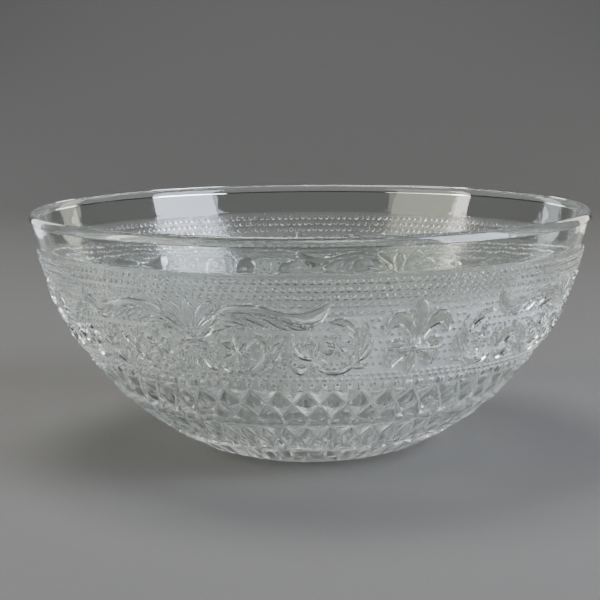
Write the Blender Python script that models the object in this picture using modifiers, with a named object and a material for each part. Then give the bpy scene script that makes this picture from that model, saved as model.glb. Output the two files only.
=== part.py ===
"""Pressed glass punch bowl, one solid piece of glass.

The origin is the centre of the foot's underside, on the table; +Z is up through the bowl's mouth.
Run with: blender --background --python part.py
"""

import math

import bpy

MM = 0.001

# The bowl's overall size.
RIM_RADIUS = 150.0 * MM
HEIGHT = 128.0 * MM

# The outside follows an upright spheroid, cut off at the rim and at the foot.
OUTER_EQUATOR_RADIUS = 150.7 * MM
OUTER_HALF_HEIGHT = 155.9 * MM
EQUATOR_Z = 145.3 * MM

# The inside is the smooth print of the press's plunger, a slightly smaller spheroid on the same centre.
INNER_EQUATOR_RADIUS = 146.3 * MM
INNER_HALF_HEIGHT = 150.1 * MM
FLOOR_Z = 5.6 * MM
FLOOR_FILLET = 9.0 * MM

# The foot: a flat standing ring round a shallow recess.
FOOT_RADIUS = 54.0 * MM
FOOT_INNER_RADIUS = 46.0 * MM
FOOT_HEIGHT = 1.6 * MM
RECESS_DEPTH = 1.2 * MM
RECESS_SLOPE = 1.2 * MM

# Heights of the moulded bands on the outside, from the rim down.
LIP_Z = 123.6 * MM
PLAIN_BAND_BOTTOM_Z = 109.6 * MM
BEAD_ROWS_BOTTOM_Z = 97.2 * MM
FRIEZE_BOTTOM_Z = 56.2 * MM
TEETH_BOTTOM_Z = 50.6 * MM
DIAMONDS_BOTTOM_Z = 35.4 * MM
GIRDLE_BOTTOM_Z = 31.4 * MM
FAN_BOTTOM_Z = 15.6 * MM

# How far each band stands in from the spheroid, at its top and at its bottom.
PLAIN_BAND_INSETS = (0.2 * MM, 1.2 * MM)
BEAD_ROWS_INSETS = (1.0 * MM, 0.8 * MM)
FRIEZE_INSETS = (0.4 * MM, 0.3 * MM)
TEETH_INSETS = (1.1 * MM, 1.1 * MM)
DIAMOND_INSETS = (0.6 * MM, 0.6 * MM)
GIRDLE_INSETS = (-0.2 * MM, -0.2 * MM)
STEP = 0.5 * MM

SEGMENTS = 96
POINTS_IN_A_BAND = 3
POINTS_IN_THE_LIP = 7
POINTS_INSIDE = 12
POINTS_IN_THE_FILLET = 4


def clear_scene():
    for obj in list(bpy.data.objects):
        bpy.data.objects.remove(obj)


def spheroid_radius(z, equator_radius, half_height):
    """Radius at height z of an upright spheroid centred at EQUATOR_Z."""
    return equator_radius * math.sqrt(1 - ((z - EQUATOR_Z) / half_height) ** 2)


def outer_radius(z):
    return spheroid_radius(z, OUTER_EQUATOR_RADIUS, OUTER_HALF_HEIGHT)


def inner_radius(z):
    return spheroid_radius(z, INNER_EQUATOR_RADIUS, INNER_HALF_HEIGHT)


def lip_profile():
    """The fire-polished lip, half an ellipse from the inside of the rim over to its outside."""
    inside = inner_radius(LIP_Z)
    middle = (RIM_RADIUS + inside) / 2
    half_wide = (RIM_RADIUS - inside) / 2
    points = []
    for i in range(POINTS_IN_THE_LIP):
        angle = math.pi * (1 - i / (POINTS_IN_THE_LIP - 1))
        points.append((middle + half_wide * math.cos(angle), LIP_Z + (HEIGHT - LIP_Z) * math.sin(angle)))
    return points


def band_profile(top_z, bottom_z, insets):
    """One moulded band's outline, down the spheroid from one inset to the other, with a short step at each end."""
    points = []
    for i in range(POINTS_IN_A_BAND):
        t = i / (POINTS_IN_A_BAND - 1)
        z = (top_z - STEP) * (1 - t) + (bottom_z + STEP) * t
        points.append((outer_radius(z) - insets[0] * (1 - t) - insets[1] * t, z))
    return points


def outer_profile():
    """The outside from under the lip down to the foot."""
    bands = (
        (LIP_Z, PLAIN_BAND_BOTTOM_Z, PLAIN_BAND_INSETS),
        (PLAIN_BAND_BOTTOM_Z, BEAD_ROWS_BOTTOM_Z, BEAD_ROWS_INSETS),
        (BEAD_ROWS_BOTTOM_Z, FRIEZE_BOTTOM_Z, FRIEZE_INSETS),
        (FRIEZE_BOTTOM_Z, TEETH_BOTTOM_Z, TEETH_INSETS),
        (TEETH_BOTTOM_Z, DIAMONDS_BOTTOM_Z, DIAMOND_INSETS),
        (DIAMONDS_BOTTOM_Z, GIRDLE_BOTTOM_Z, GIRDLE_INSETS),
        (GIRDLE_BOTTOM_Z, FAN_BOTTOM_Z, DIAMOND_INSETS),
        (FAN_BOTTOM_Z, FOOT_HEIGHT, DIAMOND_INSETS),
    )
    points = []
    for top_z, bottom_z, insets in bands:
        points += band_profile(top_z, bottom_z, insets)
    return points


def foot_profile():
    """The standing ring and the recess inside it, in to the axis."""
    return [
        (FOOT_RADIUS, FOOT_HEIGHT / 2),
        (FOOT_RADIUS - FOOT_HEIGHT / 2, 0.0),
        (FOOT_INNER_RADIUS, 0.0),
        (FOOT_INNER_RADIUS - RECESS_SLOPE, RECESS_DEPTH),
        (0.0, RECESS_DEPTH),
    ]


def inner_profile():
    """The inside from the middle of the floor out and up to the lip."""
    fillet_top_z = FLOOR_Z + FLOOR_FILLET / 3
    floor_edge = inner_radius(FLOOR_Z) - FLOOR_FILLET
    corner = (inner_radius(FLOOR_Z), FLOOR_Z)
    wall_start = (inner_radius(fillet_top_z), fillet_top_z)
    points = [(0.0, FLOOR_Z)]
    for i in range(POINTS_IN_THE_FILLET):
        t = i / (POINTS_IN_THE_FILLET - 1)
        weights = ((1 - t) ** 2, 2 * t * (1 - t), t * t)
        ends = ((floor_edge, FLOOR_Z), corner, wall_start)
        points.append(tuple(sum(w * end[axis] for w, end in zip(weights, ends)) for axis in range(2)))
    for i in range(1, POINTS_INSIDE):
        z = fillet_top_z + (LIP_Z - fillet_top_z) * i / POINTS_INSIDE
        points.append((inner_radius(z), z))
    return points


def turned(name, profile):
    """An outline in the XZ plane that starts and ends on the axis, turned once round Z with a Screw modifier."""
    mesh = bpy.data.meshes.new(name)
    verts = [(x, 0.0, z) for x, z in profile]
    mesh.from_pydata(verts, [(i, i + 1) for i in range(len(verts) - 1)], [])
    obj = bpy.data.objects.new(name, mesh)
    screw = obj.modifiers.new("turn", "SCREW")
    screw.axis = "Z"
    screw.steps = SEGMENTS
    screw.render_steps = SEGMENTS
    screw.use_merge_vertices = True
    screw.merge_threshold = 0.00005
    screw.use_smooth_shade = True
    return obj


def clear_glass():
    """Soda-lime glass, clear with a trace of grey-green."""
    material = bpy.data.materials.new("clear_pressed_glass")
    material.use_nodes = True
    shader = material.node_tree.nodes["Principled BSDF"]
    shader.inputs["Base Color"].default_value = (0.93, 0.96, 0.95, 1.0)
    shader.inputs["Roughness"].default_value = 0.03
    shader.inputs["Metallic"].default_value = 0.0
    shader.inputs["Transmission Weight"].default_value = 1.0
    shader.inputs["IOR"].default_value = 1.52
    return material


def build():
    clear_scene()
    collection = bpy.data.collections.new("punch_bowl")
    bpy.context.scene.collection.children.link(collection)
    bowl = turned("bowl", inner_profile() + lip_profile() + outer_profile() + foot_profile())
    bowl.data.materials.append(clear_glass())
    collection.objects.link(bowl)


build()
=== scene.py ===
"""Pressed glass punch bowl: the looks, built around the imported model."""

import math

import bpy
import bmesh
import numpy as np
from mathutils import Matrix, Vector


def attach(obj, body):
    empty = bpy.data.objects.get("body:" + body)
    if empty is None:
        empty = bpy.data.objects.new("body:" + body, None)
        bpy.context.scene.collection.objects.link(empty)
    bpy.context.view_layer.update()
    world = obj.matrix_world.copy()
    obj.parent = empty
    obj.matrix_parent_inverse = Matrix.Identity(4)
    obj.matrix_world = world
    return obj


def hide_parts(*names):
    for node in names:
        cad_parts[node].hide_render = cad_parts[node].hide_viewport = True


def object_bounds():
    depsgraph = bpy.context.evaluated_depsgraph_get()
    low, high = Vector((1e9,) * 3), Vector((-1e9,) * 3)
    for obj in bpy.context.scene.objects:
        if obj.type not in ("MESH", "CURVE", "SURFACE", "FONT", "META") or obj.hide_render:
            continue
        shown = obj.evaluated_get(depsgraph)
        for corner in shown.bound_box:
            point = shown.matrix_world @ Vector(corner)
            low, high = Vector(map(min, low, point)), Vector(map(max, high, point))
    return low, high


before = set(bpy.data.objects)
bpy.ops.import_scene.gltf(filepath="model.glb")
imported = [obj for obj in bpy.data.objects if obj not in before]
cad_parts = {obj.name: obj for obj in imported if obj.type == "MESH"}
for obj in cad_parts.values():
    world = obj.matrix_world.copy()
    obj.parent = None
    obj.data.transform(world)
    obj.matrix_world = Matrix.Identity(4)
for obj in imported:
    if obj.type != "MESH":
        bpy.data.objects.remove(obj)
cad_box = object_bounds()


# ---------------------------------------------------------------------------------------------
# The camera. It stands in front of the bowl, a little above the rim, and looks slightly down, so
# that the mouth shows as a thin ellipse and the whole outside wall is seen. Distances are in rim radii.

low, high = cad_box
rim_radius = (high[0] - low[0]) / 2
camera_distance = 5.5 * rim_radius
camera_height = 1.364 * rim_radius
camera_lens_mm = 91.9
camera_down = math.radians(8.81)
camera_turn = math.radians(0.40)
camera_roll = math.radians(0.43)

camera_data = bpy.data.cameras.new("camera")
camera_data.lens = camera_lens_mm
camera_data.sensor_width = 36.0
camera = bpy.data.objects.new("camera", camera_data)
bpy.context.scene.collection.objects.link(camera)
camera.matrix_world = (
    Matrix.Translation((0.0, -camera_distance, low[2] + camera_height))
    @ Matrix.Rotation(camera_turn, 4, "Z")
    @ Matrix.Rotation(math.pi / 2 - camera_down, 4, "X")
    @ Matrix.Rotation(-camera_roll, 4, "Z")
)
bpy.context.scene.camera = camera

# Light crosses many glass faces before it comes out again, so paths may be long.
bpy.context.scene.cycles.max_bounces = 32
bpy.context.scene.cycles.transmission_bounces = 32
bpy.context.scene.cycles.glossy_bounces = 16


# ---------------------------------------------------------------------------------------------
# The table top. A plain grey painted board that bends up behind the bowl into a backdrop, wide enough
# to run out of the picture on every side. It is grey rather than white, because clear glass shows on it.

def linear(hex_colour):
    """A colour's linear values from its sRGB hex: each channel to the power law of the sRGB curve."""
    channels = []
    for i in (1, 3, 5):
        value = int(hex_colour[i:i + 2], 16) / 255
        channels.append(value / 12.92 if value <= 0.04045 else ((value + 0.055) / 1.055) ** 2.4)
    return (*channels, 1.0)


def node(tree, kind, settings=None, **links):
    """Adds a node. settings are its properties, or its inputs' values by name; links feed its inputs."""
    new = tree.nodes.new(kind)
    for key, value in (settings or {}).items():
        if key in new.inputs:
            new.inputs[key].default_value = value
        else:
            setattr(new, key, value)
    for key, socket in links.items():
        tree.links.new(socket, new.inputs[key.replace("_", " ")])
    return new


def new_material(name):
    """An empty node material and its output node."""
    material = bpy.data.materials.new(name)
    material.use_nodes = True
    material.node_tree.nodes.clear()
    return material, material.node_tree.nodes.new("ShaderNodeOutputMaterial")


def painted_board():
    """Matt emulsion on board, rolled on: an even grey whose faint roller texture only softens its sheen."""
    material, output = new_material("matt_painted_board")
    tree = material.node_tree
    place = node(tree, "ShaderNodeTexCoord")
    stipples_per_metre = 260.0
    roller = node(tree, "ShaderNodeTexNoise", {"Scale": stipples_per_metre, "Detail": 3.0},
                  Vector=place.outputs["Object"])
    bump = node(tree, "ShaderNodeBump", {"Strength": 0.05, "Distance": 0.0005},
                Height=roller.outputs["Fac"])
    paint = node(tree, "ShaderNodeBsdfPrincipled", {
        "Base Color": linear("#737270"),
        "Roughness": 0.75,
        "Specular IOR Level": 0.25,
    }, Normal=bump.outputs["Normal"])
    tree.links.new(paint.outputs["BSDF"], output.inputs["Surface"])
    return material


def sweep_mesh(name, half_width, front_y, bend_y, bend_radius, top_z, floor_z):
    """A sheet that lies flat from front_y to bend_y, turns up through a quarter circle, and stands to
    top_z: two straight runs joined by the arc y = r sin t, z = r (1 - cos t), with x running across."""
    turn = np.linspace(0, math.pi / 2, 25)
    y = np.concatenate([np.linspace(front_y, bend_y, 12)[:-1], bend_y + bend_radius * np.sin(turn),
                        np.full(6, bend_y + bend_radius)])
    z = np.concatenate([np.zeros(11), bend_radius * (1 - np.cos(turn)),
                        np.linspace(bend_radius, top_z, 7)[1:]])
    x = np.linspace(-half_width, half_width, 9)
    points = np.stack(np.broadcast_arrays(x, y[:, None], z[:, None] + floor_z), -1).reshape(-1, 3)
    i = np.arange(len(y) - 1)[:, None] * len(x) + np.arange(len(x) - 1)
    faces = np.stack([i, i + 1, i + len(x) + 1, i + len(x)], -1).reshape(-1, 4)
    mesh = bpy.data.meshes.new(name)
    mesh.from_pydata(points.tolist(), [], faces.tolist())
    mesh.polygons.foreach_set("use_smooth", [True] * len(mesh.polygons))
    return mesh


board_half_width = 5.0
board_front_y = -5.0
board_bend_y = 1.3
board_bend_radius = 0.8
board_top_z = 2.6
gap_under_foot = 0.0003

board_mesh = sweep_mesh("sweep", board_half_width, board_front_y, board_bend_y, board_bend_radius,
                        board_top_z, low[2] - gap_under_foot)
board_mesh.materials.append(painted_board())
board = bpy.data.objects.new("sweep", board_mesh)
bpy.context.scene.collection.objects.link(board)


# ---------------------------------------------------------------------------------------------
# The light. A dim, even room, and tall soft boxes like windows: a cool one at the right, a narrow one
# and a broad one at the left, two weak ones behind, and one overhead. Glass shows itself by what it
# mirrors, so they are large. Sizes and places are in metres, powers in watts.

room = bpy.data.worlds.new("room")
room.use_nodes = True
room.node_tree.nodes["Background"].inputs["Color"].default_value = linear("#2A2B2D")
room.node_tree.nodes["Background"].inputs["Strength"].default_value = 1.0
bpy.context.scene.world = room


def soft_box(name, place, target, size, power, colour):
    """A rectangular area light at place, turned to face target."""
    data = bpy.data.lights.new(name, "AREA")
    data.shape = "RECTANGLE"
    data.size, data.size_y = size
    data.energy = power
    data.color = linear(colour)[:3]
    lamp = bpy.data.objects.new(name, data)
    lamp.location = place
    lamp.rotation_euler = (Vector(target) - Vector(place)).to_track_quat("-Z", "Y").to_euler()
    bpy.context.scene.collection.objects.link(lamp)


centre = (0.0, 0.0, 0.07)
soft_box("window_right", (1.30, -0.62, 0.62), centre, (0.86, 1.1), 46.0, "#E4EAFB")
soft_box("window_left", (-1.50, -0.30, 0.60), centre, (0.20, 0.9), 8.0, "#FFF8F0")
soft_box("wall_left", (-1.25, -0.75, 0.60), centre, (0.9, 1.0), 12.0, "#E2E6D0")
soft_box("back_left", (-1.15, 1.35, 0.50), centre, (0.5, 1.0), 6.0, "#F4F8FF")
soft_box("back_right", (1.15, 1.35, 0.50), centre, (0.5, 1.0), 6.0, "#FAF8E8")
soft_box("ceiling", (-0.3, 0.3, 1.8), centre, (0.9, 0.9), 22.0, "#FFFFFF")


# ---------------------------------------------------------------------------------------------
# The bowl. One gather of clear soda-lime glass, pressed in a mould by a smooth plunger: the mould
# cuts its relief into the outside, the plunger leaves the inside plain, and the lip is fire polished.

# Sizes here are in millimetres. The mould repeats every quarter turn, each quarter with two mirrored
# halves, so only an eighth of the bowl is worked out, from the palmette's middle to the fleur-de-lis's.

MM = 0.001
eighth = 45.0
first_palmette = -23.7
frieze_length = 108.4

outer_equator, outer_half_height = 150.7, 155.9
inner_equator, inner_half_height = 146.3, 150.1
equator_z = 145.3
height = (high[2] - low[2]) / MM
lip_z = 123.6
plain_band_bottom_z = 109.6
relief_top_z = 111.0
relief_bottom_z = 55.5
relief_step = 0.30

plain_columns = 28
relief_columns = 336


def outer_radius(z):
    """Radius of the outside at height z: an upright spheroid, r = a sqrt(1 - ((z - c) / b)^2)."""
    return outer_equator * np.sqrt(1 - ((z - equator_z) / outer_half_height) ** 2)


def inner_radius(z):
    """Radius of the inside at height z: a smaller spheroid on the same centre."""
    return inner_equator * np.sqrt(1 - ((z - equator_z) / inner_half_height) ** 2)


def ease(x, start, end):
    """Zero before start, one after end, and the smooth cubic 3t^2 - 2t^3 between them."""
    t = np.clip((x - start) / (end - start), 0.0, 1.0)
    return t * t * (3 - 2 * t)


def ground_inset(z):
    """How far the ground of the relief stands in from the spheroid: 1.0 beside the plain band, 0.9 behind
    the beads and the frieze, and 1.7 beside the teeth, eased from one to the next."""
    return 1.0 - 0.1 * ease(-z, -plain_band_bottom_z, -109.2) + 0.8 * ease(-z, -56.3, -55.7)


def rise(distance, reach, lift, power):
    """A rounded swell: lift (1 - (distance / reach)^2)^power inside reach, and nothing outside it."""
    return lift * np.clip(1 - (distance / reach) ** 2, 0, None) ** power


def smooth_path(points, count):
    """A Catmull-Rom curve through the points, as count positions at even steps of its parameter."""
    p = np.array(points, float)
    p = np.vstack([2 * p[0] - p[1], p, 2 * p[-1] - p[-2]])
    u = np.linspace(0, len(points) - 1, count)
    k = np.minimum(u.astype(int), len(points) - 2)
    t = (u - k)[:, None]
    a, b, c, d = p[k], p[k + 1], p[k + 2], p[k + 3]
    straight = 2 * b + (c - a) * t
    return 0.5 * (straight + (2 * a - 5 * b + 4 * c - d) * t ** 2 + (3 * b - a - 3 * c + d) * t ** 3)


def leaf(relief, x, z, points, widths, lift, form, ribs=0):
    """Lays a leaf along a curve into the relief.

    Each place takes its distance d to the curve, and q = d / w, where w is the half width there. A roof
    leaf rises as 1 - q, a round one as sqrt(1 - q^2), and a hollow one has a narrow raised rim round a
    dished middle. Where w is under 1.04, the leaf lies lower, by the factor 0.35 + w / 1.6. ribs adds
    fine lines along the leaf. Where the relief is already higher, it stays.
    """
    curve = smooth_path(points, 12 * (len(points) - 1) + 1)
    margin = max(widths) + 0.5
    (x0, z0), (x1, z1) = curve.min(0) - margin, curve.max(0) + margin
    columns = np.flatnonzero((x[0] >= x0) & (x[0] <= x1))
    rows = np.flatnonzero((z[:, 0] >= z0) & (z[:, 0] <= z1))
    patch = np.s_[rows[0]:rows[-1] + 1, columns[0]:columns[-1] + 1]
    px, pz = x[patch].ravel(), z[patch].ravel()
    start, run = curve[:-1], np.diff(curve, axis=0)
    along = (px[:, None] - start[:, 0]) * run[:, 0] + (pz[:, None] - start[:, 1]) * run[:, 1]
    along = np.clip(along / (run ** 2).sum(1), 0, 1)
    dx = px[:, None] - start[:, 0] - along * run[:, 0]
    dz = pz[:, None] - start[:, 1] - along * run[:, 1]
    distance = np.hypot(dx, dz)
    station = (np.arange(len(start)) + along) / len(start)
    half = np.interp(station, np.linspace(0, 1, 24), smooth_path([(w, 0) for w in widths], 24)[:, 0])
    ratio = distance / np.maximum(half, 0.05)
    best = ratio.argmin(1)
    pick = np.arange(len(px)), best
    q, w = ratio[pick], half[pick]
    side = np.sign(dx[pick] * run[best, 1] - dz[pick] * run[best, 0])
    inside = np.clip(1 - q, 0, 1)
    if form == "roof":
        shape = inside
    elif form == "round":
        shape = np.sqrt(np.clip(1 - q ** 2, 0, 1))
    else:
        shape = np.minimum(1.0, inside * w / 0.3) * (1 - 0.42 * ease(inside * w, 0.35, 1.1))
    if ribs:
        furrow = 0.5 - 0.5 * np.cos(q * side * math.pi * ribs)
        shape = shape * (1 - 0.35 * furrow * ease(inside, 0.0, 0.2))
    low_end = np.minimum(1.0, 0.35 + w / 1.6)
    laid = np.where(q < 1, lift * low_end * shape, 0.0).reshape(relief[patch].shape)
    relief[patch] = np.maximum(relief[patch], laid)


def groove(relief, x, z, points, half, lift):
    """Cuts a V groove along a curve: the relief goes down as far as a roof leaf of this lift would rise,
    but never below the ground."""
    cut = np.zeros_like(relief)
    leaf(cut, x, z, points, [half, half], lift, "roof")
    relief -= np.minimum(cut, np.maximum(relief, 0.0))


def bead(relief, x, z, at, radius, lift):
    """A bead, nearly half round: lift (1 - (d / radius)^2)^0.6 at the distance d from its middle."""
    distance = np.hypot(x - at[0], z - at[1])
    relief[:] = np.maximum(relief, rise(distance, radius, lift, 0.6))


def arc(centre, radius, start, end, count=7):
    """Points along a circle's arc, from one angle to another in degrees, counted from +X towards +Z."""
    return [
        (centre[0] + radius * math.cos(math.radians(a)), centre[1] + radius * math.sin(math.radians(a)))
        for a in np.linspace(start, end, count)
    ]


def rosette(relief, x, z, centre, radius, petals, lift):
    """A flower of flat kites with a low ridge, set apart by narrow gaps: along each petal's axis the half
    width grows as 0.46 t - 0.02, up to t = 0.62, and then falls to nothing at its tip."""
    dx, dz = x - centre[0], z - centre[1]
    turn = 2 * math.pi / petals
    angle = np.arctan2(dx, dz)
    angle = angle - np.round(angle / turn) * turn
    r = np.hypot(dx, dz)
    along, across = r * np.cos(angle) / radius, np.abs(r * np.sin(angle)) / radius
    half = np.interp(along, [0.05, 0.62, 1.0], [0.003, 0.265, 0.0])
    inward = np.clip(1 - across / np.maximum(half, 1e-3), 0, 1)
    shape = np.clip(3 * inward, 0, 1) * (0.55 + 0.45 * inward)
    relief[:] = np.maximum(relief, lift * shape)


def palmette(relief, x, z):
    """Five leaves fanned from a collar, with hanging leaves below it. The middle is at x = 0."""
    leaf(relief, x, z, [(1.2, 80.5), (3.4, 86.5), (7.0, 91.6), (11.6, 95.0)],
         [0.5, 1.6, 3.0, 3.1], 1.5, "hollow", 2)
    leaf(relief, x, z, [(0.0, 79.5), (0.0, 86.0), (0.0, 92.0), (0.0, 98.2)],
         [0.7, 1.9, 3.6, 0.2], 1.9, "hollow", 2)
    leaf(relief, x, z, [(2.0, 80.0), (5.2, 85.6), (10.5, 89.8), (16.0, 92.0)],
         [0.4, 1.1, 1.4, 0.3], 1.4, "hollow")
    leaf(relief, x, z, [(0.0, 77.4), (4.0, 77.0), (7.6, 75.6), (9.6, 76.4)],
         [1.7, 1.5, 1.2, 0.8], 1.6, "round")
    leaf(relief, x, z, [(0.0, 74.2), (3.6, 73.4), (7.2, 71.4)], [1.3, 1.1, 0.5], 1.5, "round")
    leaf(relief, x, z, [(0.0, 72.8), (0.0, 67.5), (0.0, 62.2)], [0.8, 2.5, 0.2], 1.5, "hollow", 2)
    leaf(relief, x, z, [(2.0, 72.0), (4.4, 67.6), (6.6, 64.2), (10.5, 61.6)],
         [0.5, 1.6, 1.6, 0.2], 1.4, "hollow")
    leaf(relief, x, z, [(5.0, 72.6), (8.2, 70.6), (9.4, 66.8), (8.6, 63.6)],
         [0.4, 1.0, 0.9, 0.3], 1.2, "roof")


def scroll_leaf(relief, x, z):
    """The long acanthus leaf that rolls from the palmette over the large flower to a curled tip."""
    main = [(3.0, 80.5), (8.0, 86.5), (14.5, 91.6), (22.0, 94.0), (32.0, 94.2), (42.0, 91.8), (50.0, 90.0),
            (57.0, 90.6), (62.0, 93.8), (64.8, 98.2)]
    leaf(relief, x, z, main, [0.4, 1.1, 1.8, 2.3, 2.5, 2.2, 2.8, 3.4, 2.4, 0.2], 1.3, "hollow")
    leaf(relief, x, z, [(9.5, 84.2), (15.0, 88.4), (21.0, 89.6), (27.0, 87.4), (31.6, 84.4)],
         [0.4, 1.6, 2.3, 1.6, 0.2], 1.5, "hollow", 2)
    leaf(relief, x, z, [(21.0, 91.4), (28.0, 91.0), (33.0, 88.9), (38.0, 84.9)],
         [0.4, 1.8, 2.1, 0.2], 1.6, "hollow", 2)
    leaf(relief, x, z, [(31.0, 91.6), (38.0, 90.0), (43.0, 87.2), (49.2, 83.0)],
         [0.4, 1.8, 2.1, 0.2], 1.6, "hollow", 2)
    leaf(relief, x, z, [(41.0, 89.6), (46.0, 87.6), (51.0, 85.4), (57.0, 84.4)],
         [0.3, 1.4, 1.4, 0.3], 1.5, "hollow")
    leaf(relief, x, z, [(6.0, 79.2), (10.0, 82.3), (16.0, 84.4), (25.0, 86.0)],
         [0.4, 1.2, 1.2, 0.2], 1.4, "roof")
    leaf(relief, x, z, [(47.0, 88.0), (52.0, 86.2), (57.5, 86.3), (62.0, 89.3), (64.9, 95.0), (65.8, 98.4)],
         [0.3, 0.9, 1.2, 1.2, 0.8, 0.1], 1.7, "roof")
    groove(relief, x, z, [(16.0, 91.4), (21.0, 91.0), (26.5, 88.3), (31.5, 84.9)], 0.35, 0.9)
    groove(relief, x, z, [(28.5, 92.0), (33.0, 90.2), (36.5, 87.4), (38.5, 85.2)], 0.35, 0.9)
    groove(relief, x, z, [(38.0, 90.8), (43.0, 88.4), (47.5, 84.4), (51.0, 82.6)], 0.35, 0.9)


def large_flower(relief, x, z):
    """A six-petalled flower in a ring of pearls, held in a C scroll."""
    centre = (21.6, 73.2)
    leaf(relief, x, z, arc(centre, 12.6, 48, -152, 11),
         [0.2, 0.8, 1.2, 1.7, 2.2, 2.1, 1.6, 0.9, 0.3], 1.6, "hollow")
    leaf(relief, x, z, arc(centre, 11.4, 205, 60, 9), [0.5, 0.6, 0.6, 0.3], 1.0, "round")
    rosette(relief, x, z, centre, 8.6, 6, 1.9)
    for angle in np.arange(0, 360, 30):
        bead(relief, x, z, arc(centre, 9.8, angle, angle, 1)[0], 1.0, 0.7)


def spear_leaves(relief, x, z):
    """The pointed leaves and the stem between the large flower and the tulip."""
    leaf(relief, x, z, [(34.6, 66.4), (37.8, 72.6), (44.3, 79.6)], [0.3, 2.6, 0.2], 1.6, "hollow")
    leaf(relief, x, z, [(36.6, 67.4), (41.4, 70.6), (45.4, 78.2)], [0.3, 1.3, 0.2], 1.5, "roof")
    leaf(relief, x, z, [(31.0, 61.4), (37.0, 66.0), (42.0, 68.0), (46.2, 69.8)],
         [0.5, 0.8, 0.7, 0.2], 1.5, "round")
    leaf(relief, x, z, [(37.0, 76.0), (34.8, 79.6), (30.2, 82.4)], [0.3, 1.6, 0.2], 1.5, "hollow")
    leaf(relief, x, z, [(33.4, 62.4), (38.5, 64.6), (42.4, 63.8), (44.6, 61.2)],
         [0.3, 1.1, 1.1, 0.4], 1.4, "roof")
    leaf(relief, x, z, [(38.4, 67.0), (43.0, 66.6), (47.0, 64.6)], [0.2, 0.9, 0.2], 1.3, "roof")


def tulip(relief, x, z):
    """An open tulip with a curl between its petals, on a curved sepal and a short foot."""
    leaf(relief, x, z, [(57.0, 68.8), (51.4, 71.6), (48.4, 76.0), (48.6, 81.0)],
         [0.7, 1.6, 1.6, 0.8], 1.6, "hollow")
    leaf(relief, x, z, [(57.0, 69.6), (54.0, 73.0), (51.4, 78.6)], [0.7, 2.2, 0.2], 1.4, "hollow")
    leaf(relief, x, z, [(57.4, 68.8), (60.6, 72.6), (61.2, 79.0)], [0.7, 1.2, 0.2], 1.6, "roof")
    leaf(relief, x, z, [(57.4, 69.6), (58.4, 73.2), (59.4, 77.4)], [0.5, 1.3, 0.2], 1.4, "hollow")
    leaf(relief, x, z, arc((56.0, 78.4), 1.6, 0, 360, 9), [0.5, 0.5], 1.2, "round")
    leaf(relief, x, z, [(46.4, 69.2), (48.4, 65.2), (52.6, 63.2), (57.0, 66.6)],
         [0.2, 1.7, 2.2, 0.4], 1.6, "hollow")
    leaf(relief, x, z, [(57.6, 66.6), (57.8, 61.2)], [0.2, 1.8], 1.4, "hollow")


def small_flower(relief, x, z):
    """A smaller flower in a ring of pearls, held in a round scroll that widens above it."""
    centre = (69.6, 74.8)
    ring = [(57.8, 67.0), (61.0, 64.4), (66.0, 62.8), (72.0, 62.9), (77.0, 65.6), (80.2, 70.2),
            (80.8, 76.0), (79.4, 81.2), (76.0, 85.4), (71.0, 88.2), (65.6, 88.0)]
    leaf(relief, x, z, ring, [0.3, 1.2, 1.8, 1.9, 1.5, 1.1, 1.1, 1.2, 1.6, 2.2, 0.8], 1.5, "hollow")
    leaf(relief, x, z, arc(centre, 9.1, 110, -140, 11), [0.2, 0.6, 0.6, 0.6, 0.2], 1.5, "roof")
    rosette(relief, x, z, centre, 6.9, 6, 1.8)
    for angle in np.arange(10, 370, 40):
        bead(relief, x, z, arc(centre, 7.9, angle, angle, 1)[0], 0.8, 0.6)


def blade_leaves(relief, x, z):
    """Curved blades that close the scroll on the fleur-de-lis's side."""
    leaf(relief, x, z, [(81.4, 88.6), (83.2, 83.6), (82.6, 77.2), (80.8, 71.4)],
         [0.2, 1.2, 1.1, 0.3], 1.4, "roof")
    leaf(relief, x, z, [(85.8, 79.4), (85.3, 74.6), (82.8, 70.6), (78.6, 67.4)],
         [0.2, 1.7, 1.6, 0.3], 1.6, "hollow")
    leaf(relief, x, z, [(75.0, 63.6), (80.6, 65.6), (85.2, 64.2)], [0.2, 1.8, 0.4], 1.5, "hollow")


def fleur_de_lis(relief, x, z):
    """A lily: a tall middle petal, two petals that curl over, a crossbar, and a smaller foot below it."""
    middle = frieze_length
    leaf(relief, x, z, [(middle, 74.5), (middle, 86.5), (middle, 98.6)],
         [0.8, 2.4, 4.4, 0.2], 1.8, "hollow")
    curl = [(106.4, 75.0), (105.0, 81.4), (102.6, 86.2), (98.8, 88.8), (95.4, 87.6), (93.2, 84.0),
            (92.8, 79.6)]
    leaf(relief, x, z, curl, [0.5, 1.5, 3.0, 3.8, 3.2, 1.8, 0.3], 1.7, "hollow")
    leaf(relief, x, z, [(95.0, 76.0), (98.6, 76.0), (102.2, 76.0)], [1.2, 2.9, 1.2], 1.4, "round")
    leaf(relief, x, z, [(94.0, 72.4), (100.0, 72.4), (middle, 73.0)], [0.6, 0.8, 1.2], 1.8, "round")
    leaf(relief, x, z, [(105.4, 71.4), (101.2, 69.4), (98.4, 66.4), (97.0, 63.0)],
         [0.8, 2.2, 2.0, 0.4], 1.6, "hollow")
    leaf(relief, x, z, [(95.4, 71.2), (94.8, 67.2), (97.4, 63.4)], [0.3, 0.9, 0.3], 1.5, "roof")
    leaf(relief, x, z, [(middle, 71.4), (middle, 66.4), (middle, 61.4)], [1.0, 2.4, 1.3], 1.7, "hollow")


def frieze(x, z):
    """All the ornament of the frieze, mirrored at the palmette's and at the fleur-de-lis's middle."""
    relief = np.zeros(x.shape)
    motifs = (palmette, scroll_leaf, large_flower, spear_leaves, tulip, small_flower, blade_leaves,
              fleur_de_lis)
    for motif in motifs:
        motif(relief, x, z)
    return relief


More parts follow.
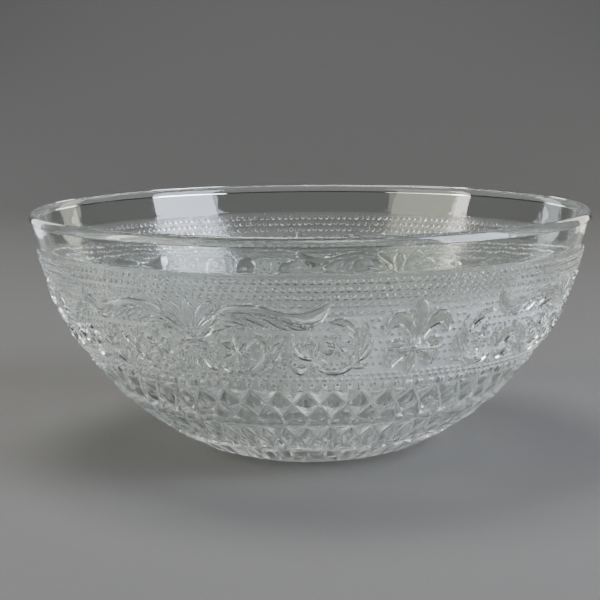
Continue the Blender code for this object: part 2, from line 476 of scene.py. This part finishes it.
bead_pitch = 1.5
bead_row_step = 3.75
first_bead_row = 107.0
bead_rows = 12
bold_bead_rows = 3
bead_flattening = 1.06
covering_height = 0.05


def beads(a, x, z, motifs):
    """Rows of beads in staggered ranks, 240 round the bowl, bold in the top rows and finer below them.

    Each place measures its distance to the nearest bead of its row. A bead is left out where the
    ornament covers its middle.
    """
    relief = np.zeros(a.shape)
    column_z = z[:, 0]
    for k in range(bead_rows):
        row_z = first_bead_row - k * bead_row_step
        radius, lift = (1.35, 0.85) if k < bold_bead_rows else (1.15, 0.7)
        shift = 0.5 * (k % 2)
        rows = np.flatnonzero(np.abs(column_z - row_z) < radius + 0.1)
        number = np.round(a[rows] / bead_pitch - shift)
        nearest = (number + shift) * bead_pitch
        across = np.radians(a[rows] - nearest) * outer_radius(row_z)
        distance = np.hypot(across, (z[rows] - row_z) * bead_flattening)
        at = np.clip(np.round(nearest / eighth * (a.shape[1] - 1)).astype(int), 0, a.shape[1] - 1)
        row = np.abs(column_z - row_z).argmin()
        covered = motifs[row][at] > covering_height
        relief[rows] = np.where(covered, 0.0, rise(distance, radius, lift, 0.7))
    return relief


def border_beads(a, z):
    """Two close rows of beads under the frieze, 224 round the bowl, each a little wider than it is high."""
    relief = np.zeros(a.shape)
    pitch = eighth / 28
    radius, lift, flattening = 1.5, 0.9, 1.35
    for row_z, shift in ((59.8, 0.0), (57.3, 0.5)):
        nearest = (np.round(a / pitch - shift) + shift) * pitch
        across = np.radians(a - nearest) * outer_radius(row_z)
        distance = np.hypot(across, (z - row_z) * flattening)
        relief = np.maximum(relief, rise(distance, radius, lift, 0.6))
    return relief


cuts = 7
cut_pitch = eighth / cuts


def skin_points(angle, z, out):
    """Points that stand out from the spheroid by out, square to it, at each angle and height."""
    r = outer_radius(z)
    square_r, square_z = r / outer_equator ** 2, (z - equator_z) / outer_half_height ** 2
    length = np.hypot(square_r, square_z)
    return to_points(r + square_r / length * out, z + square_z / length * out, angle)


def to_points(r, z, angle):
    """Places radii and heights at angles counted in degrees from the front, to the right."""
    turn = np.radians(angle)
    return np.stack(np.broadcast_arrays(r * np.sin(turn), -r * np.cos(turn), z), -1).reshape(-1, 3) * MM


def grid_faces(rows, columns):
    """Quads of a grid whose points are stored row by row, from the top left."""
    i = np.arange(rows - 1)[:, None] * columns + np.arange(columns - 1)
    return np.stack([i, i + columns, i + columns + 1, i + 1], -1).reshape(-1, 4)


def grid_strip(points, rows):
    """A grid as a strip of the bowl: its points, its blocks of faces that have the same number of corners,
    and the points of its top and bottom rows."""
    columns = len(points) // rows
    angle = np.linspace(0, eighth, columns)
    numbers = np.arange(len(points)).reshape(rows, columns)
    return points, [grid_faces(rows, columns)], (numbers[0], angle), (numbers[-1], angle)


def cut_strip(count, corners, facets):
    """A strip of flat facets, as a mould cut by a wheel leaves them.

    corners are (across, z, out), where across runs from 0 to 1000 over half a pattern, and out is the
    height over the spheroid. facets number the corners of half a pattern; the other half mirrors them, and
    the pattern repeats count times across the eighth.
    """
    across, z, out = np.array(corners, float).T
    first = 2000.0 * np.arange(count)[:, None]
    places = np.concatenate([(first + across).ravel(), (first + 2000.0 - across).ravel()])
    every = np.stack([places, np.tile(z, 2 * count), np.tile(out, 2 * count)], 1)
    kept, number = np.unique(every, axis=0, return_inverse=True)
    number = number.reshape(2, count, len(corners))
    blocks = []
    for facet in facets:
        blocks += [number[0][:, facet], number[1][:, facet[::-1]]]
    angle = kept[:, 0] / (2000.0 * count) * eighth
    top, bottom = np.flatnonzero(kept[:, 1] == z.max()), np.flatnonzero(kept[:, 1] == z.min())
    return skin_points(angle, kept[:, 1], kept[:, 2]), blocks, (top, angle[top]), (bottom, angle[bottom])


def joined(strips):
    """The strips as one sheet: between two rows, each step of either row makes a triangle with the point
    that the other row has reached."""
    points, faces = [], []
    count = 0
    above = None
    for strip_points, blocks, top, bottom in strips:
        for block in blocks:
            faces += (block + count).tolist()
        if above is not None:
            (upper, upper_angle), (lower, lower_angle) = above, (top[0] + count, top[1])
            upper_middle = (upper_angle[1:] + upper_angle[:-1]) / 2
            lower_middle = (lower_angle[1:] + lower_angle[:-1]) / 2
            reached_below = lower[np.searchsorted(lower_middle, upper_middle, side="right")]
            reached_above = upper[np.searchsorted(upper_middle, lower_middle, side="left")]
            faces += np.stack([upper[:-1], reached_below, upper[1:]], 1).tolist()
            faces += np.stack([reached_above, lower[:-1], lower[1:]], 1).tolist()
        above = (bottom[0] + count, bottom[1])
        points.append(strip_points)
        count += len(strip_points)
    return np.concatenate(points), faces


def relief_rows():
    """Heights of the relief's rows, at even steps of arc length down the outside."""
    z = np.linspace(relief_top_z, relief_bottom_z, 4000)
    length = np.concatenate([[0], np.cumsum(np.hypot(np.diff(outer_radius(z)), np.diff(z)))])
    return np.interp(np.linspace(0, length[-1], round(length[-1] / relief_step)), length, z)


def relief_heights(row_z):
    """Height of beads and frieze over the ground, on the relief's rows and columns."""
    a, z = np.meshgrid(np.linspace(0, eighth, relief_columns + 1), row_z)
    x = a / eighth * frieze_length
    motifs = frieze(x, z) * ease(z, 60.0, 61.2)
    return np.maximum.reduce([motifs, beads(a, x, z, motifs), border_beads(a, z)])


relief_z = relief_rows()
relief_height = relief_heights(relief_z)


def moulded_relief():
    """Beads and frieze as a strip."""
    a, z = np.meshgrid(np.linspace(0, eighth, relief_columns + 1), relief_z)
    return grid_strip(skin_points(a, z, relief_height - ground_inset(z)), len(relief_z))


def teeth():
    """A row of upright blocks with bevelled sides, 128 round the bowl."""
    ground, face = -1.75, -0.7
    return cut_strip(16, [
        (0, 55.0, ground), (1000, 55.0, ground), (0, 50.8, ground), (1000, 50.8, ground),
        (400, 54.7, ground), (1000, 54.7, ground), (400, 51.1, ground), (1000, 51.1, ground),
        (560, 54.2, face), (1000, 54.2, face), (560, 51.6, face), (1000, 51.6, face),
    ], [
        [0, 2, 6, 4], [0, 4, 5, 1], [2, 3, 7, 6], [4, 6, 10, 8], [4, 8, 9, 5], [6, 7, 11, 10],
        [8, 10, 11, 9],
    ])


def diamonds():
    """Cut pyramids in a diagonal lattice, 56 round the bowl, whole ones between halves, with flat mitres
    between them. Each has a shallower point on a steeper foot."""
    mitre, shoulder, point = -1.75, -0.55, 0.35
    return cut_strip(cuts, [
        (0, 50.5, point), (910, 50.5, mitre), (1000, 50.5, mitre), (0, 43.1, mitre), (0, 42.35, mitre),
        (90, 42.35, mitre), (1000, 49.77, mitre), (0, 41.6, mitre), (910, 34.2, mitre), (1000, 34.2, mitre),
        (0, 34.2, point), (1000, 34.93, mitre), (1000, 42.35, point), (540, 42.35, shoulder),
        (1000, 46.1, shoulder), (1000, 38.6, shoulder), (0, 46.75, shoulder), (460, 50.5, shoulder),
        (0, 37.95, shoulder), (460, 34.2, shoulder),
    ], [
        [3, 4, 5, 6, 2, 1], [4, 7, 8, 9, 11, 5], [16, 3, 1, 17], [0, 16, 17], [7, 18, 19, 8], [18, 10, 19],
        [5, 13, 14, 6], [5, 11, 15, 13], [13, 12, 14], [13, 15, 12],
    ])


def girdle():
    """A rounded moulding between the cut bands, with shallow upright flutes: its outline is half an
    ellipse, and a cosine round the bowl raises and lowers it by a tenth of a millimetre."""
    rows, middle_z, half_height = 8, 31.4, 2.4
    a, z = np.meshgrid(np.linspace(0, eighth, cuts * 8 + 1), np.linspace(33.7, 29.1, rows))
    swell = np.sqrt(np.clip(1 - ((z - middle_z) / half_height) ** 2, 0, 1))
    flutes = 0.1 * swell * np.cos(4 * math.pi * a / cut_pitch)
    return grid_strip(skin_points(a, z, flutes + 1.2 * swell - 0.9), rows)


def fans():
    """Tall cut lozenges with their points up, shorter ones between their lower halves, and hanging
    triangles between their tips."""
    groove_level = -1.5
    return cut_strip(cuts, [
        (0, 28.7, -0.3), (1000, 28.7, groove_level), (0, 20.9, groove_level), (1000, 28.0, -1.4),
        (360, 21.0, -1.3), (1000, 13.2, -1.3), (1000, 21.6, 0.45), (0, 20.0, groove_level),
        (560, 16.2, -1.4), (0, 12.2, -1.3), (0, 16.4, 0.0), (1000, 12.2, -1.3),
    ], [
        [0, 2, 1], [1, 2, 4, 3], [3, 4, 6], [4, 5, 6], [2, 7, 8, 4], [4, 8, 5], [8, 9, 11, 5],
        [7, 10, 8], [10, 9, 8],
    ])


def petals():
    """A ring of round-ended petals above the foot, set between the lozenges. Each is a half-round swell,
    sqrt(1 - (d / w)^2), whose half width w runs as half an ellipse from the petal's top to its foot."""
    rows = 11
    a, z = np.meshgrid(np.linspace(0, eighth, cuts * 10 + 1), np.linspace(12.0, 2.5, rows))
    u = a / cut_pitch
    across, along = np.abs(u - np.round(u)), (z - 7.6) / 5.3
    reach = 0.5 * np.sqrt(np.clip(1 - along ** 2, 1e-6, 1))
    swell = np.sqrt(np.clip(1 - (across / reach) ** 2, 0, 1))
    return grid_strip(skin_points(a, z, 1.5 * swell - 1.3), rows)


def plain_inside_and_lip():
    """The smooth part above the relief, as one outline: the floor, a bend along a parabola, the wall, the
    lip as half an ellipse, and the plain band, which leans in from 0.2 to 1.0 behind the spheroid."""
    floor_z, fillet = 5.6, 9.0
    wall_z = floor_z + fillet / 3
    start, corner = inner_radius(floor_z) - fillet, inner_radius(floor_z)
    t = np.linspace(0, 1, 7)
    bend_r = (1 - t) ** 2 * start + 2 * t * (1 - t) * corner + t * t * inner_radius(wall_z)
    bend_z = (1 - t) ** 2 * floor_z + 2 * t * (1 - t) * floor_z + t * t * wall_z
    floor_r = np.linspace(0, start, 6)[:-1]
    wall = wall_z + (lip_z - wall_z) * np.linspace(0, 1, 18)[1:-1]
    inside, outside = inner_radius(lip_z), rim_radius / MM
    turn = np.linspace(math.pi, 0, 15)
    lip_r = (outside + inside) / 2 + (outside - inside) / 2 * np.cos(turn)
    lip_top = lip_z + (height - lip_z) * np.sin(turn)
    band = np.concatenate([[lip_z - 0.5], np.linspace(lip_z - 1.2, relief_top_z + 0.6, 9)])
    band_r = outer_radius(band) - 0.2 - 0.8 * (lip_z - band) / (lip_z - relief_top_z)
    r = np.concatenate([floor_r, bend_r, inner_radius(wall), lip_r, band_r])
    z = np.concatenate([np.full(len(floor_r), floor_z), bend_z, wall, lip_top, band])
    return grid_strip(to_points(r[:, None], z[:, None], np.linspace(0, eighth, plain_columns + 1)), len(r))


def foot_and_star():
    """The standing ring and the recess inside it, whose ceiling has a star of 28 shallow rays."""
    r = np.array([57.2, 55.6, 54.3, 53.2, 46.0, 44.8, 42.5, 41.0, 34.0, 27.0, 20.0, 13.0, 6.0, 0.0])
    z = np.array([1.9, 1.5, 0.8, 0.0, 0.0, 1.2, 1.2, 1.2, 1.2, 1.2, 1.2, 1.2, 1.2, 1.2])
    depth = np.array([0, 0, 0, 0, 0, 0, 0, 0.5, 0.5, 0.5, 0.45, 0.35, 0.2, 0])
    a = np.linspace(0, eighth, plain_columns + 1)
    ray = np.abs(2 * (a / (2 * cut_pitch) - np.round(a / (2 * cut_pitch))))
    return grid_strip(to_points(r[:, None], z[:, None] + depth[:, None] * ray, a), len(r))


def eighth_mesh():
    """One eighth of the bowl, from the middle of its floor over the lip and down the outside to the foot.
    The numbers of the relief's inner points come with it, because only they may be thinned."""
    plain, relief = plain_inside_and_lip(), moulded_relief()
    points, faces = joined([plain, relief, teeth(), diamonds(), girdle(), fans(), petals(), foot_and_star()])
    start, row = len(plain[0]), relief_columns + 1
    return points, faces, range(start + row, start + len(relief[0]) - row)


def reduced(points, faces, loose, share):
    """The eighth with its relief thinned where it is flat, by Blender's edge-collapse Decimate."""
    mesh = bpy.data.meshes.new("eighth")
    mesh.from_pydata(points.tolist(), [], faces)
    shape = bpy.data.objects.new("eighth", mesh)
    bpy.context.scene.collection.objects.link(shape)
    relief_points = shape.vertex_groups.new(name="relief")
    relief_points.add(list(loose), 1.0, "REPLACE")
    thin = shape.modifiers.new("thin", "DECIMATE")
    thin.ratio = share
    thin.vertex_group = relief_points.name
    thin.use_collapse_triangulate = True
    result = bpy.data.meshes.new_from_object(shape.evaluated_get(bpy.context.evaluated_depsgraph_get()))
    bpy.data.objects.remove(shape)
    return result


INSIDE, POLISHED, CUT, LEAF, GROUND = range(5)

ornament_height = 0.15
cuts_top_z = 55.3
girdle_top_z = 33.9
girdle_bottom_z = 28.9
petals_top_z = 12.1
foot_top_z = 2.2
inside_bottom_z = 4.0


def skins(part):
    """Which skin each face has, by its place: the plunger's inside, the polished lip, plain band and foot,
    the cut facets, the ornament, beads, girdle and petals, or the ground and the mitres, where the relief
    is low. out is how far a face stands out from the spheroid, square to it."""
    centres = np.zeros(len(part.polygons) * 3, np.float32)
    part.polygons.foreach_get("center", centres)
    x, y, z = centres.reshape(-1, 3).T / MM
    r, angle = np.hypot(x, y), np.degrees(np.arctan2(x, -y))
    level = z.clip(2.0, lip_z)
    row = np.interp(-z, -relief_z, np.arange(len(relief_z))).round().astype(int)
    column = (angle / eighth * relief_columns).round().astype(int).clip(0, relief_columns)
    skin = np.where(relief_height[row, column] > ornament_height, LEAF, GROUND)
    tilt = (equator_z - level) / outer_half_height * outer_equator / outer_radius(level)
    out = (r - outer_radius(level)) / np.hypot(1, tilt * outer_equator / outer_half_height)
    mitre = np.where(z > girdle_top_z, -1.6, -1.35)
    skin = np.where(z < cuts_top_z, np.where(out < mitre, GROUND, CUT), skin)
    skin = np.where(((z > girdle_bottom_z) & (z < girdle_top_z)) | (z < petals_top_z), LEAF, skin)
    skin = np.where((z > plain_band_bottom_z) | (z < foot_top_z), POLISHED, skin)
    middle_of_wall = (outer_radius(level) + inner_radius(level)) / 2
    inside = (r < middle_of_wall) & (z > inside_bottom_z) & (z < plain_band_bottom_z)
    return np.where(inside, INSIDE, skin).astype(np.int32)


weld_distance = 0.000004
sharp_angle = math.radians(38)


def whole_bowl(part):
    """Eight copies of the eighth, every other one mirrored, welded into one closed body.

    A side that belongs to one triangle only is on the eighth's border, and its ends are set exactly on the
    two planes of symmetry, so that the copies meet.
    """
    count = len(part.vertices)
    places = np.zeros(count * 3, np.float32)
    part.vertices.foreach_get("co", places)
    x, y, z = places.reshape(-1, 3).astype(float).T / MM
    corners = np.zeros(len(part.loops), np.int32)
    part.loops.foreach_get("vertex_index", corners)
    triangles = corners.reshape(-1, 3)
    sides = np.sort(np.stack([triangles, np.roll(triangles, -1, axis=1)], -1).reshape(-1, 2), axis=1)
    pairs, uses = np.unique(sides, axis=0, return_counts=True)
    on_border = np.zeros(count, bool)
    on_border[pairs[uses == 1]] = True
    r, angle = np.hypot(x, y), np.degrees(np.arctan2(x, -y))
    angle = np.where(on_border, np.where(angle > eighth / 2, eighth, 0.0), angle)
    points, faces = [], []
    for quarter in range(4):
        for mirrored in (1, -1):
            points.append(to_points(r, z, first_palmette + 90 * quarter + mirrored * angle))
            faces.append((triangles if mirrored == 1 else triangles[:, ::-1]) + len(faces) * count)
    mesh = bpy.data.meshes.new("pressed_glass_bowl")
    mesh.from_pydata(np.concatenate(points).tolist(), [], np.concatenate(faces).tolist())
    mesh.polygons.foreach_set("material_index", np.tile(skins(part), 8))
    shell = bmesh.new()
    shell.from_mesh(mesh)
    bmesh.ops.remove_doubles(shell, verts=shell.verts, dist=weld_distance)
    bmesh.ops.dissolve_degenerate(shell, edges=shell.edges, dist=weld_distance / 4)
    bmesh.ops.triangulate(shell, faces=[f for f in shell.faces if len(f.verts) > 3])
    shell.to_mesh(mesh)
    shell.free()
    mesh.set_sharp_from_angle(angle=sharp_angle)
    kind = np.zeros(len(mesh.polygons), np.int32)
    mesh.polygons.foreach_get("material_index", kind)
    mesh.polygons.foreach_set("use_smooth", kind != CUT)
    return mesh


def soda_lime_glass(name, roughness, clear, swell_mm, swell_depth, fade=None):
    """Soda-lime glass, whose index is 1.52, clear with a trace of grey-green.

    clear is the share of light that its skin lets through unscattered. swell_mm is the width of the slow
    swells that pressing leaves, and swell_depth how strongly they bend what is seen through them. fade is
    the pair of heights between which a matt skin dies away up the wall into a polished one.
    """
    material, output = new_material(name)
    tree = material.node_tree
    place = node(tree, "ShaderNodeTexCoord")
    swell = node(tree, "ShaderNodeTexNoise", {"Scale": 1000.0 / swell_mm, "Detail": 2.0, "Roughness": 0.45},
                 Vector=place.outputs["Object"])
    bump = node(tree, "ShaderNodeBump", {"Strength": swell_depth, "Distance": 0.0006},
                Height=swell.outputs["Fac"])
    glass = node(tree, "ShaderNodeBsdfPrincipled", {
        "Base Color": linear("#F4F8F5"),
        "Transmission Weight": clear,
        "IOR": 1.52,
        "Roughness": roughness,
    }, Normal=bump.outputs["Normal"])
    if fade:
        axes = node(tree, "ShaderNodeSeparateXYZ", Vector=place.outputs["Object"])
        for socket, matt, polished in (("Roughness", roughness, 0.05), ("Transmission Weight", clear, 1.0)):
            blend = node(tree, "ShaderNodeMapRange", {
                "From Min": fade[0] * MM,
                "From Max": fade[1] * MM,
                "To Min": matt,
                "To Max": polished,
            }, Value=axes.outputs["Z"])
            tree.links.new(blend.outputs["Result"], glass.inputs[socket])
    tree.links.new(glass.outputs["BSDF"], output.inputs["Surface"])
    return material


triangles_kept = 24700
eighth_points, eighth_faces, relief_range = eighth_mesh()
triangles_made = sum(len(face) - 2 for face in eighth_faces)
bowl_mesh = whole_bowl(reduced(eighth_points, eighth_faces, relief_range, triangles_kept / triangles_made))

# The plunger chills the inside and leaves it faintly hazy, so what is behind it looks soft.
bowl_mesh.materials.append(soda_lime_glass(
    "plunger_pressed_glass", roughness=0.16, clear=1.0, swell_mm=14.0, swell_depth=0.2))
# The flame melts the lip and the plain band smooth: crisp mirror images with a slow wave in them.
bowl_mesh.materials.append(soda_lime_glass(
    "fire_polished_glass", roughness=0.03, clear=1.0, swell_mm=14.0, swell_depth=0.2))
# The mould's polished wheel cuts give flat, bright facets.
bowl_mesh.materials.append(soda_lime_glass(
    "cut_mould_glass", roughness=0.03, clear=0.99, swell_mm=14.0, swell_depth=0.05))
# The leaves, petals and beads are pressed bright as well, and bend the light as small lenses.
bowl_mesh.materials.append(soda_lime_glass(
    "moulded_ornament_glass", roughness=0.03, clear=1.0, swell_mm=8.0, swell_depth=0.05))
# The ground between them is stippled in the mould: a pale mist that sets the ornament off. Its grain is
# too fine to show, so the skin scatters part of the light. It clears towards the upper rows of beads.
bowl_mesh.materials.append(soda_lime_glass(
    "stippled_ground_glass", roughness=0.32, clear=0.58, swell_mm=1.0, swell_depth=0.05, fade=(88.0, 101.0)))
bowl = bpy.data.objects.new("pressed_glass_bowl", bowl_mesh)
bpy.context.scene.collection.objects.link(bowl)
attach(bowl, "root")
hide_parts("bowl")
